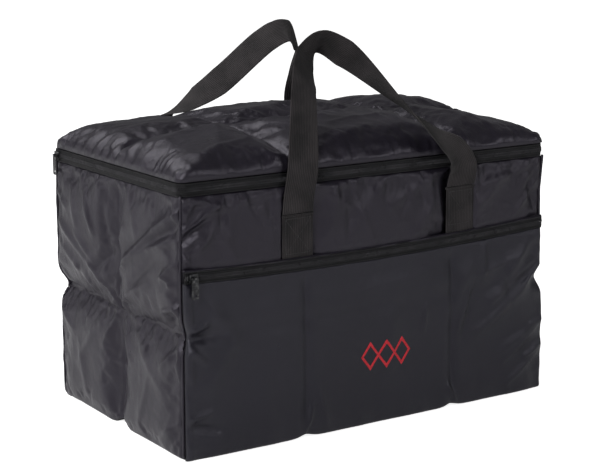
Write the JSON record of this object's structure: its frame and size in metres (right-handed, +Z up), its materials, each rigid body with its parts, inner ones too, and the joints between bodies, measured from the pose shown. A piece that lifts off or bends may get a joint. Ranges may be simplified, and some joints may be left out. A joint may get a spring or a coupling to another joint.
{
  "type": "cajon bag",
  "caption": "Padded quilted carrying bag for a box drum, with a lid that opens on a zip round three sides, a zipped front pocket and two webbing carry handles",
  "frame": {"origin": "middle of the base, on the surface that the bag stands on", "axes": "+X along the bag's length, from the end with the main zip's slider to the other end; -Y out of the front, where the pocket is; +Z up"},
  "size_m": [0.53, 0.3447, 0.471],
  "materials": {
    "nylon": "tightly woven coated nylon with a soft sheen",
    "lining": "thin plain woven lining",
    "foam": "matt closed-cell foam padding",
    "webbing": "ribbed woven webbing, matt",
    "zip_tape": "fine twill zip tape",
    "zip_coil": "moulded coil, slightly glossy",
    "zip_metal": "black coated zinc casting",
    "thread": "polyester sewing thread",
    "embroidery": "glossy red satin-stitch thread"
  },
  "bodies": {
    "body": {"back_foam": "foam", "back_left_patch": "webbing", "back_left_piping": "nylon", "back_left_stitch": "thread", "back_lining": "lining", "back_outer": "nylon", "back_right_patch": "webbing", "back_right_piping": "nylon", "back_right_stitch": "thread", "body_zip_coil": "zip_coil", "body_zip_tape": "zip_tape", "bottom_foam": "foam", "bottom_lining": "lining", "bottom_outer": "nylon", "front_foam": "foam", "front_left_patch": "webbing", "front_left_piping": "nylon", "front_left_stitch": "thread", "front_lining": "lining", "front_outer": "nylon", "front_right_patch": "webbing", "front_right_piping": "nylon", "front_right_stitch": "thread", "left_foam": "foam", "left_lining": "lining", "left_outer": "nylon", "lid_hinge_strip": "nylon", "pocket_bottom_edge": "nylon", "pocket_left_edge": "nylon", "pocket_lower_coil": "zip_coil", "pocket_lower_tape": "zip_tape", "pocket_motif": "embroidery", "pocket_panel": "nylon", "pocket_right_edge": "nylon", "pocket_top_edge": "nylon", "pocket_upper_coil": "zip_coil", "pocket_upper_tape": "zip_tape", "pocket_zip_left_stop": "zip_metal", "pocket_zip_right_stop": "zip_metal", "right_foam": "foam", "right_lining": "lining", "right_outer": "nylon", "rim_binding": "lining"},
    "lid": {"lid_foam": "foam", "lid_lining": "lining", "lid_outer": "nylon", "lid_zip_coil": "zip_coil", "lid_zip_tape": "zip_tape"},
    "front_handle": {"front_handle": "webbing", "front_left_fold": "webbing", "front_right_fold": "webbing"},
    "back_handle": {"back_handle": "webbing", "back_left_fold": "webbing", "back_right_fold": "webbing"},
    "main_slider": {"main_slider": "zip_metal"},
    "main_pull": {"main_pull": "zip_metal"},
    "pocket_slider": {"pocket_slider": "zip_metal"},
    "pocket_pull": {"pocket_pull": "zip_metal"}
  },
  "joints": [
    {"name": "lid_hinge", "type": "hinge", "parent": "body", "child": "lid", "pos_m": [0, 0.151, 0.312], "axis": [-1, 0, 0], "range_deg": [0, 95]},
    {"name": "front_fold", "type": "hinge", "parent": "body", "child": "front_handle", "pos_m": [0, -0.15425, 0.27], "axis": [1, 0, 0], "range_deg": [0, 86]},
    {"name": "back_fold", "type": "hinge", "parent": "body", "child": "back_handle", "pos_m": [0, 0.15425, 0.27], "axis": [-1, 0, 0], "range_deg": [0, 86]},
    {"name": "main_slide", "type": "slide", "parent": "body", "child": "main_slider", "axis": [0, -1, 0], "range_m": [0, 0.27]},
    {"name": "main_pull_swing", "type": "hinge", "parent": "main_slider", "child": "main_pull", "pos_m": [-0.2656, 0.143, 0.304], "axis": [0, 1, 0], "range_deg": [0, 120]},
    {"name": "pocket_slide", "type": "slide", "parent": "body", "child": "pocket_slider", "axis": [1, 0, 0], "range_m": [0, 0.49]},
    {"name": "pocket_pull_swing", "type": "hinge", "parent": "pocket_slider", "child": "pocket_pull", "pos_m": [-0.2468, -0.1625, 0.2125], "axis": [-1, 0, 0], "range_deg": [0, 120]}
  ],
  "couplings": [
    {"joint": "front_fold", "follows": "lid_hinge", "ratio": 0.9},
    {"joint": "back_fold", "follows": "lid_hinge", "ratio": 0.9}
  ]
}
